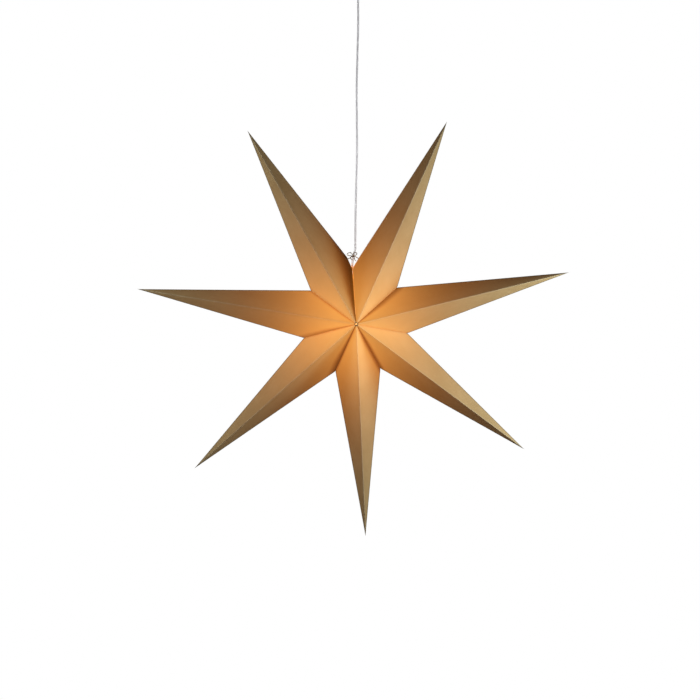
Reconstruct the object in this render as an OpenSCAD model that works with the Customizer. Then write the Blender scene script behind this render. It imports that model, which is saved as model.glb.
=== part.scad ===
// Seven-pointed folded paper advent star, hung from the ceiling by its lamp cord.
// Millimetres, +Z up, front towards -Y. The origin is on the ceiling, where the cup is fixed,
// and everything hangs below it. Directions in the star's plane are degrees anticlockwise from +X,
// seen from the front.

/* [Star] */
// Distance from the ceiling down to the centre of the star
hub_drop = 800; // [780:5:1600]
// Distance from the star's centre to the tip of a point
tip_radius = 500; // [350:5:600]
// Distance from the star's centre to the notch between two points
notch_radius = 124; // [110:1:140]
// Half the thickness of the opened star at its centre
hub_half_depth = 112; // [90:1:140]
// Thickness of the kraft card
paper_thickness = 0.4; // [0.3:0.1:1]
// Width of the glued strip along each valley
glue_strip_width = 10; // [6:1:16]
// Diameter of the pinhole left where all the folds meet
pinhole_diameter = 4; // [2:0.5:6]

/* [Open seam] */
// Distance from the star's centre to the two tied corners
seam_corner_radius = 148; // [144:1:156]
// Distance from the star's centre to where the two edges part
seam_knee_radius = 121; // [116:1:124]
// Direction of the seam
seam_direction = 93.4; // [92.8:0.1:94]
// Angle between the two edges of the seam at their knees
seam_knee_gap_angle = 0.7; // [0.4:0.1:1]
// Direction of the tied corner on the left
left_corner_direction = 97.6; // [97:0.1:98.5]
// Direction of the tied corner on the right
right_corner_direction = 86.6; // [86:0.1:87]
// Width of the folded strip along the open seam
seam_strip_width = 9; // [7:1:10]
// Diameter of the holes punched for the string
string_hole_diameter = 2.2; // [2:0.1:2.6]
// Distance of a punched hole below its corner
string_hole_inset = 4.5; // [4:0.5:7]

/* [String] */
// Diameter of the tie string
string_diameter = 1.4; // [1:0.1:1.6]
// Diameter of the bow's knot, and of the knots behind the two holes
knot_diameter = 4; // [3.4:0.2:5]

/* [Cord] */
// Diameter of the lamp cord
cord_diameter = 4.4; // [4:0.1:4.8]
// Diameter of one insulated core
core_diameter = 1.6; // [1.2:0.1:1.8]
// Distance between the two cores where they leave the sheath
core_spacing = 1.9; // [1.8:0.1:2.1]

/* [Bulb] */
// Diameter of the glass globe
globe_diameter = 45; // [40:1:50]
// Length of the whole bulb
bulb_length = 78; // [74:1:82]
// Diameter of the screw cap
bulb_cap_diameter = 14; // [13.6:0.1:14.2]
// Length of the screw cap
bulb_cap_length = 20; // [18:1:22]

/* [Lamp holder] */
// Outer diameter of the holder's body
holder_diameter = 27; // [26:0.5:32]
// Wall of the holder's body and cap
holder_wall = 1.6; // [1.2:0.1:2]
// Thickness of the holder's floor, between the bulb and the terminals
socket_floor = 3; // [2:0.5:4]
// Height of the collar that the cap screws on to
collar_height = 6; // [4:0.5:8]
// Height of the cap over the terminals
holder_cap_height = 28; // [26:1:34]
// Diameter of the neck that grips the cord
neck_diameter = 13; // [11:0.5:14]
// Length of the neck
neck_length = 8; // [6:0.5:10]
// Diameter of the screw that holds the cord
neck_screw_diameter = 4; // [3:0.5:5]
// Side of a brass terminal
terminal_side = 5; // [4:0.5:5.5]
// Height of a brass terminal
terminal_height = 7; // [6:0.5:8]
// Thickness of the brass contacts
contact_thickness = 0.5; // [0.4:0.1:0.8]

/* [Ceiling fitting] */
// Diameter of the ceiling cup
cup_diameter = 80; // [70:1:110]
// Height of the ceiling cup
cup_height = 42; // [38:1:60]
// Wall of the ceiling cup
cup_wall = 1; // [0.8:0.1:2]
// Radius of the cup's lower edge
cup_edge_radius = 8; // [4:1:12]
// Diameter of the cord grip
grip_diameter = 16; // [14:0.5:20]
// Length of the cord grip under the cup
grip_length = 14; // [10:1:16]
// Diameter of the grip's threaded tail
grip_tail_diameter = 10; // [9:0.5:12]
// Thickness of the nut on that tail
grip_nut_thickness = 4; // [3:0.5:6]
// Width of the strap that is screwed to the ceiling
strap_width = 14; // [12:1:20]
// Thickness of the strap
strap_thickness = 2; // [1.5:0.5:3]
// Height of the strap's bent ears
strap_ear_height = 14; // [12:1:18]
// Distance between the strap's two screw holes
strap_hole_spacing = 50; // [42:1:56]
// Diameter of the strap's screw holes
strap_hole_diameter = 5; // [4:0.5:6]
// Diameter of the two side screws
side_screw_diameter = 4; // [3:0.5:5]
// Size of the connector block, across the two poles, front to back and high
connector_size = [18, 12, 12]; // [8:1:24]

/* [Hidden] */
// Clearance of a sliding or screwed fit
fit_gap = 0.1;
// Clearance of a passage
pass_gap = 0.3;
// How far a cutting shape runs past what it cuts
overcut = 1;
$fn = 64;

// Hand-folded points: their directions and lengths differ a little, clockwise from the seam
point_directions = [119.9, 65.8, 13.3, -36.7, -86.7, -137, -188];
point_length_errors = [-3, 0, 4, -7, 1, 3, 3];
// Directions of the six glued valleys, clockwise from the one between the second and third point
valley_directions = [39.2, -12.5, -61.3, -110.9, -161.4, -214.4];
point_count = len(point_directions);

hub_front = [0, -hub_half_depth, 0];
hub_back = [0, hub_half_depth, 0];

// Heights above the star's centre
bulb_bottom = -globe_diameter / 2;
bulb_top = bulb_bottom + bulb_length;
contact_tip_length = 1.5;
cap_shell_top = bulb_top - contact_tip_length;
cap_shell_bottom = cap_shell_top - bulb_cap_length;
floor_bottom = bulb_top + contact_tip_length;
floor_top = floor_bottom + socket_floor;
holder_mouth = cap_shell_bottom + pass_gap;
shoulder_height = floor_top + holder_wall;
collar_top = shoulder_height + collar_height;
cap_top = shoulder_height + holder_cap_height;
holder_top = cap_top + neck_length;
sheath_end = cap_top - holder_wall - 3;

socket_radius = bulb_cap_diameter / 2 + fit_gap + contact_thickness + fit_gap;
holder_radius = holder_diameter / 2;
cap_inner_radius = holder_radius - holder_wall;
collar_radius = cap_inner_radius - fit_gap;
taper_start = shoulder_height + holder_cap_height / 2;
contact_pin_radius = 1.8;
cord_bore_radius = cord_diameter / 2 + pass_gap;
core_radius = core_diameter / 2;
terminal_offset = bulb_cap_diameter / 2 + fit_gap - terminal_side / 2;
terminal_top = floor_top + contact_thickness + terminal_height;
core_depth = 4;
core_bore_diameter = core_diameter + 2 * fit_gap;
terminal_screw_diameter = 2.5;

// Heights below the ceiling
sheath_start = -cup_height + 14;
connector_bottom = -strap_thickness - connector_size.z;
pole_offset = connector_size.x / 4;
sleeve_diameter = core_diameter + 2.4;
strap_length = 2 * sqrt((cup_diameter / 2 - cup_wall) ^ 2 - (strap_width / 2) ^ 2) - 2 * fit_gap;
side_screw_height = -strap_ear_height / 2 - strap_thickness / 2;

// Route of the taut cord from the cup to the lamp holder, chosen by hand
cord_route = [
    [0, 0, sheath_start], [0, 0, -60], [1, 0, -130], [0, 0, -200], [-1, 0, -270], [0, 0, -340],
    [1, 0, -410], [0, 0, -480], [-1, 0, -550], [-1, 0, 180 - hub_drop], [-1, 0, 165 - hub_drop],
    [-5, 0, 150 - hub_drop], [-7, 0, 135 - hub_drop], [-7, 0, 122 - hub_drop],
    [-1, 0, 108 - hub_drop], [0, 0, 100 - hub_drop], [0, 0, sheath_end - hub_drop],
];
// Route of one core from the sheath's lower end into its terminal, from the star's centre
core_route = [
    [core_spacing / 2, 0, sheath_end], [core_spacing / 2, 0, sheath_end - 2],
    [terminal_offset, 0, terminal_top + 4], [terminal_offset, 0, terminal_top + 2],
    [terminal_offset, 0, terminal_top - core_depth],
];
// Route of one core from the sheath's upper end into the connector block
supply_core_route = [
    [core_spacing / 2, 0, sheath_start], [core_spacing / 2, 0, sheath_start + 2],
    [pole_offset, 0, connector_bottom - 4], [pole_offset, 0, connector_bottom - 2],
    [pole_offset, 0, connector_bottom + core_depth],
];
small_tube_sides = 8;
cord_sides = 12;
curve_steps = 4;
string_steps = 2;

// Height at which the string is tied round the cord, and the knot in front of the cord
tie_height = 149;
tied_cord_x = -5.2;
tie_reach = (cord_diameter + string_diameter) / 2 + fit_gap;
knot_place = [tied_cord_x, -(cord_diameter + knot_diameter) / 2 - fit_gap, tie_height];

function unit(v) = v / norm(v);
function polar(radius, direction) = [radius * cos(direction), 0, radius * sin(direction)];
function mirrored(p) = [p.x, -p.y, p.z];

// A face as a point and its unit normal towards a point inside
function face_of(a, b, c, inside) =
    let (n = unit(cross(b - a, c - a)))
    [a, n * (inside - a) < 0 ? -n : n];
function sunk(face, depth) = [face[0] + depth * face[1], face[1]];
function meet(f, g, h) =
    ((f[0] * f[1]) * cross(g[1], h[1]) + (g[0] * g[1]) * cross(h[1], f[1])
     + (h[0] * h[1]) * cross(f[1], g[1])) / (f[1] * cross(g[1], h[1]));

// Rings of a tube along a path, carried from point to point so that they don't twist
function tangent(path, i) =
    unit(path[min(i + 1, len(path) - 1)] - path[max(i - 1, 0)]);
function carried(path, i, side) =
    let (t = tangent(path, i), flat = unit(side - (side * t) * t))
    i == len(path) - 1 ? [flat] : concat([flat], carried(path, i + 1, flat));
function tube_points(path, radius, sides, side) =
    let (across = carried(path, 0, side))
    [for (i = [0:len(path) - 1]) let (u = across[i], v = cross(tangent(path, i), u))
     for (k = [0:sides - 1]) let (a = 360 * (k + 0.5) / sides)
     path[i] + radius / cos(180 / sides) ^ 0.5 * (cos(a) * u + sin(a) * v)];
function tube_faces(rings, sides) = concat(
    [[for (k = [0:sides - 1]) k]],
    [for (i = [0:rings - 2]) for (k = [0:sides - 1]) let (next = (k + 1) % sides)
     [i * sides + k, (i + 1) * sides + k, (i + 1) * sides + next, i * sides + next]],
    [[for (k = [sides - 1:-1:0]) (rings - 1) * sides + k]]
);
// A smooth curve through hand-chosen points
function curve_point(a, b, c, d, t) =
    0.5 * (2 * b + (c - a) * t + (2 * a - 5 * b + 4 * c - d) * t ^ 2
           + (3 * b - a - 3 * c + d) * t ^ 3);
function smooth(route, steps) = concat(
    [for (i = [0:len(route) - 2]) for (s = [0:steps - 1])
     curve_point(route[max(i - 1, 0)], route[i], route[i + 1],
                 route[min(i + 2, len(route) - 1)], s / steps)],
    [route[len(route) - 1]]
);

module tube(path, diameter, sides, side = [1, 0, 0]) {
    polyhedron(tube_points(path, diameter / 2, sides, side), tube_faces(len(path), sides),
               convexity = 6);
}

module at_hub() {
    translate([0, 0, -hub_drop]) children();
}

// The edge of a point against its neighbour, from the front hub over the notch to the back hub
function glued_edge(direction) = [hub_front, polar(notch_radius, direction), hub_back];
function seam_edge(knee_direction, corner_direction) =
    let (knee_depth = hub_half_depth * (1 - seam_knee_radius / seam_corner_radius),
         knee = polar(seam_knee_radius, knee_direction) - [0, knee_depth, 0])
    [hub_front, knee, polar(seam_corner_radius, corner_direction), mirrored(knee), hub_back];
function left_edge(i) =
    i == 1 ? seam_edge(seam_direction - seam_knee_gap_angle / 2, right_corner_direction)
    : glued_edge(valley_directions[i == 0 ? point_count - 2 : i - 2]);
function right_edge(i) =
    i == 0 ? seam_edge(seam_direction + seam_knee_gap_angle / 2, left_corner_direction)
    : glued_edge(valley_directions[i - 1]);
function tip(i) = polar(tip_radius + point_length_errors[i], point_directions[i]);

// The same edge, one card thickness inside the point
function sunk_edge(edge, apex, hub, inside) =
    let (last = len(edge) - 1, middle = last / 2,
         front = [for (k = [1:middle]) meet(
             sunk(face_of(apex, edge[k - 1], edge[k], inside), paper_thickness),
             sunk(face_of(apex, edge[k], edge[k + 1], inside), paper_thickness),
             sunk(face_of(edge[k - 1], edge[k], edge[last - k + 1], inside), paper_thickness))])
    concat([hub], front, [for (k = [middle - 2:-1:0]) mirrored(front[k])], [mirrored(hub)]);

// A closed point: the tip joined to its left edge and its right edge
module point_solid(left, right, apex) {
    n = len(left);
    m = len(right);
    points = concat(left, [for (k = [1:m - 2]) right[k]], [apex]);
    at_right = [for (k = [0:m - 1]) k == 0 ? 0 : k == m - 1 ? n - 1 : n + k - 1];
    top = len(points) - 1;
    polyhedron(points, concat(
        [for (k = [0:n - 2]) [top, k, k + 1]],
        [for (k = [0:m - 2]) [top, at_right[k + 1], at_right[k]]],
        [for (k = [0:(n - 3) / 2]) k + 1 == n - 2 - k ? [n - 1 - k, k + 1, k]
         : [n - 1 - k, n - 2 - k, k + 1, k]],
        [for (k = [0:(m - 3) / 2]) k + 1 == m - 2 - k
         ? [at_right[k], at_right[k + 1], at_right[m - 1 - k]]
         : [at_right[k], at_right[k + 1], at_right[m - 2 - k], at_right[m - 1 - k]]]
    ), convexity = 4);
}

// The opening cut in the wall along an edge, which leaves a strip of card beside the fold
module wall_opening(edge, strip) {
    first = edge[1];
    reach = norm([first.x, first.z]);
    rise = first.y + hub_half_depth;
    apex = hub_half_depth - strip * norm([reach, rise]) / reach;
    cut_width = 20 * paper_thickness;
    rotate([0, -atan2(first.z, first.x), 0])
        linear_extrude(height = cut_width, center = true)
            polygon([[0, -apex], [apex * reach / rise, 0], [0, apex],
                     [-cut_width, apex], [-cut_width, -apex]]);
}

function strip_of(edge) = len(edge) > 3 ? seam_strip_width : glue_strip_width;

// A punched hole: its middle, and the direction through it towards the gap between the corners
function punched_hole(edge, way) =
    let (down = unit([edge[1].x, 0, edge[1].z] - edge[2]), outwards = way * [-down.z, 0, down.x])
    [edge[2] + string_hole_inset * down, outwards];
left_hole = punched_hole(right_edge(0), 1);
right_hole = punched_hole(left_edge(1), -1);

module paper_point(i) {
    left = left_edge(i);
    right = right_edge(i);
    apex = tip(i);
    inside = (apex + left[1] + mirrored(left[1]) + right[1] + mirrored(right[1])) / 5;
    hub = meet(
        sunk(face_of(hub_front, left[1], hub_back, inside), paper_thickness),
        sunk(face_of(hub_front, right[1], hub_back, inside), paper_thickness),
        sunk(face_of(apex, hub_front, left[1], inside), paper_thickness));
    front_left = sunk(face_of(apex, left[(len(left) - 3) / 2], left[(len(left) - 1) / 2], inside),
                      paper_thickness);
    front_right = sunk(
        face_of(apex, right[(len(right) - 3) / 2], right[(len(right) - 1) / 2], inside),
        paper_thickness);
    back_left = [mirrored(front_left[0]), mirrored(front_left[1])];
    color("#b08e5c") at_hub() difference() {
        point_solid(left, right, apex);
        point_solid(sunk_edge(left, apex, hub, inside), sunk_edge(right, apex, hub, inside),
                    meet(front_left, back_left, front_right));
        wall_opening(left, strip_of(left));
        wall_opening(right, strip_of(right));
        rotate([90, 0, 0])
            cylinder(d = pinhole_diameter, h = 2 * hub_half_depth + overcut, center = true);
        if (i < 2) let (hole = i == 0 ? left_hole : right_hole)
            translate(hole[0]) rotate([0, atan2(hole[1].x, hole[1].z), 0])
                cylinder(d = string_hole_diameter, h = 4 * overcut, center = true, $fn = 32);
    }
}

// The string goes from a knot behind one punched hole, once round the cord, to a knot behind the
// other, and is tied in a small bow in front of the cord
module tie_string() {
    left_end = left_hole[0] - (paper_thickness + knot_diameter / 2) * left_hole[1];
    right_end = right_hole[0] - (paper_thickness + knot_diameter / 2) * right_hole[1];
    from_left = [left_end, left_hole[0], left_hole[0] + 3 * left_hole[1], [-10, -4, 147], knot_place];
    from_right = [right_end, right_hole[0], right_hole[0] + 3 * right_hole[1], [-1, -4, 147.5],
                  knot_place];
    round_the_cord = [for (a = [0:30:360]) [tied_cord_x, 0, tie_height] + tie_reach * [sin(a), -cos(a), 0]];
    left_loop = [knot_place, [-9.5, -6, 155], [-13, -6.5, 157], [-18, -6.5, 155], [-19, -6.5, 151.5],
                 [-14, -6, 150], knot_place];
    right_loop = [knot_place, [-5, -6, 155], [-2, -6.5, 158], [2, -6.5, 156], [1.5, -6, 152.5],
                  knot_place];
    left_tail = [knot_place, [-10, -6.5, 146], [-11.5, -7.5, 143.5], [-9, -8, 141], [-6, -8, 140]];
    right_tail = [knot_place, [-3, -6.5, 144], [-1.5, -7.5, 141], [0, -8, 138.5]];
    color("#e9e6df") at_hub() {
        for (route = [from_left, from_right, left_loop, right_loop, left_tail, right_tail])
            tube(smooth(route, string_steps), string_diameter, small_tube_sides, [0, 1, 0.2]);
        tube(round_the_cord, string_diameter, small_tube_sides, [0, 0, 1]);
        for (place = [knot_place, left_end, right_end])
            translate(place) sphere(d = knot_diameter, $fn = 12);
    }
}

module cord() {
    color("#b9b8b4") tube(smooth(cord_route, curve_steps), cord_diameter, cord_sides);
}

// A core leaves the sheath straight, and bends after that
module core(route, way) {
    sided = [for (p = route) [way * p.x, p.y, p.z]];
    after_start = [for (i = [1:len(sided) - 1]) sided[i]];
    tube(concat([sided[0]], smooth(after_start, curve_steps)), core_diameter, small_tube_sides);
}
module lamp_core_live() { color("#7a4a2a") at_hub() core(core_route, 1); }
module lamp_core_neutral() { color("#3f66b0") at_hub() core(core_route, -1); }
module supply_core_live() { color("#7a4a2a") core(supply_core_route, 1); }
module supply_core_neutral() { color("#3f66b0") core(supply_core_route, -1); }

// A screw that clamps the cord from the side, from the cord's surface to past the given radius
module clamp_screw(diameter, outside) {
    start = cord_diameter / 2 + fit_gap;
    slot_width = diameter / 5;
    rotate([0, 90, 0]) difference() {
        translate([0, 0, start]) cylinder(d = diameter, h = outside + diameter / 2 - start);
        translate([-diameter, -slot_width / 2, outside + diameter / 4])
            cube([2 * diameter, slot_width, diameter]);
    }
}
module clamp_screw_hole(diameter, outside) {
    rotate([0, 90, 0]) cylinder(d = diameter + 2 * fit_gap, h = outside + overcut);
}

neck_screw_height = (cap_top + holder_top) / 2;
module holder_cap() {
    neck_radius = neck_diameter / 2;
    ceiling_height = cap_top - holder_wall;
    color("#e4e2dc") at_hub() difference() {
        rotate_extrude() polygon([
            [cap_inner_radius, shoulder_height], [holder_radius, shoulder_height],
            [holder_radius, taper_start], [neck_radius, cap_top], [neck_radius, holder_top],
            [cord_bore_radius, holder_top], [cord_bore_radius, ceiling_height],
            [neck_radius - holder_wall, ceiling_height], [cap_inner_radius, taper_start],
        ]);
        translate([0, 0, neck_screw_height]) clamp_screw_hole(neck_screw_diameter, neck_radius);
    }
}
module cord_screw() {
    color("#e4e2dc") at_hub() translate([0, 0, neck_screw_height])
        clamp_screw(neck_screw_diameter, neck_diameter / 2);
}

module holder_body() {
    well_radius = collar_radius - holder_wall;
    pin_hole_radius = contact_pin_radius + fit_gap;
    skirt_inner_radius = holder_radius - holder_wall;
    socket_outer_radius = socket_radius + holder_wall;
    recess_top = floor_bottom - holder_wall;
    color("#e4e2dc") at_hub() difference() {
        rotate_extrude() polygon([
            [socket_radius, holder_mouth], [socket_outer_radius, holder_mouth],
            [socket_outer_radius, recess_top], [skirt_inner_radius, recess_top],
            [skirt_inner_radius, holder_mouth], [holder_radius, holder_mouth],
            [holder_radius, shoulder_height], [collar_radius, shoulder_height],
            [collar_radius, collar_top], [well_radius, collar_top], [well_radius, floor_top],
            [pin_hole_radius, floor_top], [pin_hole_radius, floor_bottom],
            [socket_radius, floor_bottom],
        ]);
        shell_tab(fit_gap);
    }
}

// The tab that leads from the screw shell up to the neutral terminal
module shell_tab(gap) {
    tab_width = 3;
    shell_inner_radius = bulb_cap_diameter / 2 + fit_gap;
    translate([-shell_inner_radius - contact_thickness - gap, -tab_width / 2 - gap, floor_bottom - 3])
        cube([contact_thickness + 2 * gap, tab_width + 2 * gap, socket_floor + terminal_height]);
}
module screw_shell() {
    shell_inner_radius = bulb_cap_diameter / 2 + fit_gap;
    shell_bottom = holder_mouth + 2;
    color("#c9a557") at_hub() {
        translate([0, 0, shell_bottom]) difference() {
            cylinder(r = shell_inner_radius + contact_thickness, h = floor_bottom - shell_bottom);
            translate([0, 0, -overcut])
                cylinder(r = shell_inner_radius, h = floor_bottom - shell_bottom + 2 * overcut);
        }
        shell_tab(0);
    }
}
module centre_contact() {
    foot_width = 4;
    color("#c9a557") at_hub() {
        translate([0, 0, bulb_top]) cylinder(r = contact_pin_radius, h = floor_top - bulb_top);
        translate([-contact_pin_radius / 2, -foot_width / 2, floor_top])
            cube([terminal_offset + terminal_side / 2 + contact_pin_radius / 2, foot_width,
                  contact_thickness]);
    }
}

terminal_screw_height = terminal_top - core_depth / 2;
module terminal(way, bottom) {
    color("#c9a557") at_hub() difference() {
        translate([way * terminal_offset - terminal_side / 2, -terminal_side / 2, bottom])
            cube([terminal_side, terminal_side, terminal_top - bottom]);
        translate([way * terminal_offset, 0, terminal_top - core_depth - overcut])
            cylinder(d = core_bore_diameter, h = core_depth + 2 * overcut);
        translate([way * terminal_offset, 0, terminal_screw_height]) rotate([90, 0, 0])
            cylinder(d = terminal_screw_diameter + 2 * fit_gap, h = terminal_side);
    }
}
module live_terminal() { terminal(1, floor_top + contact_thickness); }
module neutral_terminal() { terminal(-1, floor_top); }
module terminal_screws() {
    color("#a9a9a6") at_hub() for (way = [-1, 1])
        translate([way * terminal_offset, -core_radius, terminal_screw_height]) rotate([90, 0, 0])
            cylinder(d = terminal_screw_diameter, h = terminal_side / 2);
}

// A sealed globe bulb with its screw cap, as one piece
module bulb() {
    globe_radius = globe_diameter / 2;
    cap_radius = bulb_cap_diameter / 2;
    neck = [cap_radius + 1, cap_shell_bottom];
    leaves_globe = atan2(neck.y, neck.x) - acos(globe_radius / norm(neck));
    arc_steps = 24;
    color("#fff2dc") at_hub() rotate_extrude() polygon(concat(
        [for (k = [0:arc_steps]) let (a = -90 + (leaves_globe + 90) * k / arc_steps)
         globe_radius * [cos(a), sin(a)]],
        [neck, [cap_radius, cap_shell_bottom], [cap_radius, cap_shell_top - 1],
         [cap_radius * 0.65, cap_shell_top], [cap_radius * 0.35, bulb_top], [0, bulb_top]]
    ));
}

// The cup's section between its outer wall and its inner wall
module cup_section() {
    module solid_of(radius, depth, edge) {
        polygon(concat(
            [[0, overcut], [radius, overcut]],
            [for (a = [0:10:90]) [radius - edge * (1 - cos(a)), -depth + edge * (1 - sin(a))]],
            [[0, -depth]]
        ));
    }
    difference() {
        solid_of(cup_diameter / 2, cup_height, cup_edge_radius);
        solid_of(cup_diameter / 2 - cup_wall, cup_height - cup_wall, cup_edge_radius - cup_wall);
        square([cup_diameter, overcut]);
    }
}
module ceiling_cup() {
    color("#e9e7e2") difference() {
        rotate_extrude() cup_section();
        translate([0, 0, -cup_height - overcut])
            cylinder(d = grip_tail_diameter + 2 * fit_gap, h = cup_wall + 2 * overcut);
        side_screw_holes(cup_diameter / 2 + overcut);
    }
}
module side_screw_holes(reach) {
    translate([0, 0, side_screw_height]) rotate([0, 90, 0])
        cylinder(d = side_screw_diameter + 2 * fit_gap, h = 2 * reach, center = true);
}

grip_top = -cup_height + cup_wall + grip_nut_thickness + 2;
grip_screw_height = -cup_height - grip_length / 2;
module cord_grip() {
    color("#e9e7e2") difference() {
        union() {
            translate([0, 0, -cup_height - grip_length]) cylinder(d = grip_diameter, h = grip_length);
            translate([0, 0, -cup_height]) cylinder(d = grip_tail_diameter, h = grip_top + cup_height);
        }
        translate([0, 0, -cup_height - grip_length - overcut])
            cylinder(r = cord_bore_radius, h = grip_length + grip_top + cup_height + 2 * overcut);
        translate([0, 0, grip_screw_height]) clamp_screw_hole(neck_screw_diameter, grip_diameter / 2);
    }
}
module grip_screw() {
    color("#e9e7e2") translate([0, 0, grip_screw_height])
        clamp_screw(neck_screw_diameter, grip_diameter / 2);
}
module grip_nut() {
    color("#c8c7c2") translate([0, 0, -cup_height + cup_wall]) difference() {
        cylinder(d = 1.6 * grip_tail_diameter, h = grip_nut_thickness, $fn = 6);
        translate([0, 0, -overcut])
            cylinder(d = grip_tail_diameter + 2 * fit_gap, h = grip_nut_thickness + 2 * overcut);
    }
}

module mounting_strap() {
    ear_size = [strap_thickness, strap_width, strap_ear_height];
    supply_hole_diameter = connector_size.x * 0.7;
    color("#b5b6b8") difference() {
        union() {
            translate([-strap_length / 2, -strap_width / 2, -strap_thickness])
                cube([strap_length, strap_width, strap_thickness]);
            for (x = [-strap_length / 2, strap_length / 2 - strap_thickness])
                translate([x, -strap_width / 2, -strap_ear_height]) cube(ear_size);
        }
        for (way = [-1, 1]) translate([way * strap_hole_spacing / 2, 0, -strap_thickness - overcut])
            cylinder(d = strap_hole_diameter, h = strap_thickness + 2 * overcut);
        translate([0, 0, -strap_thickness - overcut])
            cylinder(d = supply_hole_diameter, h = strap_thickness + 2 * overcut);
        side_screw_holes(cup_diameter / 2);
    }
}
module side_screws() {
    head_length = 2;
    shank_start = strap_length / 2 - strap_thickness - 1;
    color("#b5b6b8") for (turn = [0, 180])
        rotate([0, 0, turn]) translate([shank_start, 0, side_screw_height]) rotate([0, 90, 0]) {
            cylinder(d = side_screw_diameter, h = cup_diameter / 2 - shank_start + overcut);
            translate([0, 0, cup_diameter / 2 - shank_start])
                cylinder(d = 2 * side_screw_diameter, h = head_length);
        }
}

module at_poles() {
    for (way = [-1, 1]) translate([way * pole_offset, 0, connector_bottom]) children();
}
module connector_screw_holes(diameter, start, length) {
    for (share = [0.25, 0.75])
        translate([0, -start, share * connector_size.z]) rotate([90, 0, 0])
            cylinder(d = diameter, h = length);
}
connector_screw_diameter = 2.5;
module connector_block() {
    color("#efece2") difference() {
        translate([-connector_size.x / 2, -connector_size.y / 2, connector_bottom])
            cube(connector_size);
        at_poles() {
            translate([0, 0, -overcut])
                cylinder(d = sleeve_diameter + 2 * fit_gap, h = connector_size.z + 2 * overcut);
            connector_screw_holes(connector_screw_diameter + 2 * fit_gap, 0, connector_size.y);
        }
    }
}
module connector_sleeves() {
    color("#c9a557") at_poles() difference() {
        cylinder(d = sleeve_diameter, h = connector_size.z);
        translate([0, 0, -overcut]) cylinder(d = core_bore_diameter, h = connector_size.z + 2 * overcut);
        connector_screw_holes(connector_screw_diameter + 2 * fit_gap, 0, connector_size.y);
    }
}
module connector_screws() {
    color("#a9a9a6") at_poles()
        connector_screw_holes(connector_screw_diameter, core_radius, connector_size.y / 2 - 1.5);
}

for (i = [1:point_count]) paper_point(i - 1);
tie_string();
cord();
lamp_core_live();
lamp_core_neutral();
holder_cap();
cord_screw();
holder_body();
screw_shell();
centre_contact();
live_terminal();
neutral_terminal();
terminal_screws();
bulb();
ceiling_cup();
cord_grip();
grip_nut();
grip_screw();
mounting_strap();
side_screws();
connector_block();
connector_sleeves();
connector_screws();
supply_core_live();
supply_core_neutral();
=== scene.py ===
"""Looks of a seven-pointed folded kraft card star, lit from inside and hung by its lamp cord.

Sizes are in millimetres, as in the part's own source, and meshes in metres. The origin is on the
ceiling, +Z is up and the front of the star faces -Y. Directions in the star's plane are degrees
anticlockwise from +X, seen from the front.
"""

import logging
import math
from dataclasses import dataclass, field
from enum import Enum
from typing import Any, Optional, Sequence

import bpy
import numpy as np
from mathutils import Matrix, Vector


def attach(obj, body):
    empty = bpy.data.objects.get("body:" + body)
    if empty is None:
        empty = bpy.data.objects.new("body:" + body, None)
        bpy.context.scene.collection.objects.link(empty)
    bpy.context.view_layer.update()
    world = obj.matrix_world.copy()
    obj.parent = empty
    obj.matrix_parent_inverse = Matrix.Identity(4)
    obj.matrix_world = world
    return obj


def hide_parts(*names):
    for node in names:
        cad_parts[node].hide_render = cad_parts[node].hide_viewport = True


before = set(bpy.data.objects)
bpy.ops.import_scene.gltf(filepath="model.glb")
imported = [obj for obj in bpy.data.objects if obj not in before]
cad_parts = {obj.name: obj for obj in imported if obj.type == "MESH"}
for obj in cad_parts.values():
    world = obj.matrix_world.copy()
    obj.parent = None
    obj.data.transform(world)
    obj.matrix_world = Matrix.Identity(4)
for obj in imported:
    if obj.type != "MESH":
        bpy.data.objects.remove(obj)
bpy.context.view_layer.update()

MM = 0.001
BODY = "root"
IMAGE_PIXELS = 700
# A plied section's mean radius and how far its plies swing from it, as shares of the outer radius
PLY_MEAN, PLY_SWING = 0.86, 0.14
SENSOR_WIDTH = 36.0
# Sockets of Blender's colour mix node, which has one set of sockets for each kind of value
MIX_A, MIX_B, MIX_RESULT = 6, 7, 2

log = logging.getLogger("star")


def srgb(code: str) -> tuple[float, float, float, float]:
    """Turns an sRGB hex colour to linear.

    Args:
        code: Colour such as "#c0ffee".

    Returns:
        Linear red, green, blue and an alpha of 1.
    """
    channels = [int(code[i:i + 2], 16) / 255 for i in (1, 3, 5)]
    linear = [c / 12.92 if c <= 0.04045 else ((c + 0.055) / 1.055) ** 2.4 for c in channels]
    return (linear[0], linear[1], linear[2], 1.0)


def add_node(tree: bpy.types.NodeTree, kind: str, settings: Optional[dict[Any, Any]] = None,
             links: Optional[dict[Any, bpy.types.NodeSocket]] = None) -> bpy.types.Node:
    """Adds one node with its settings and links.

    Args:
        tree: The material's or world's node tree.
        kind: Blender's name for the kind of node.
        settings: Values for the node's properties (small letters) or its input sockets.
        links: For an input socket's name or number, the output that feeds it.

    Returns:
        The new node.
    """
    node = tree.nodes.new(kind)
    for key, value in (settings or {}).items():
        if isinstance(key, str) and key[0].islower():
            setattr(node, key, value)
    for key, value in (settings or {}).items():
        if not (isinstance(key, str) and key[0].islower()):
            node.inputs[key].default_value = value
    for key, socket in (links or {}).items():
        tree.links.new(socket, node.inputs[key])
    return node


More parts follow.
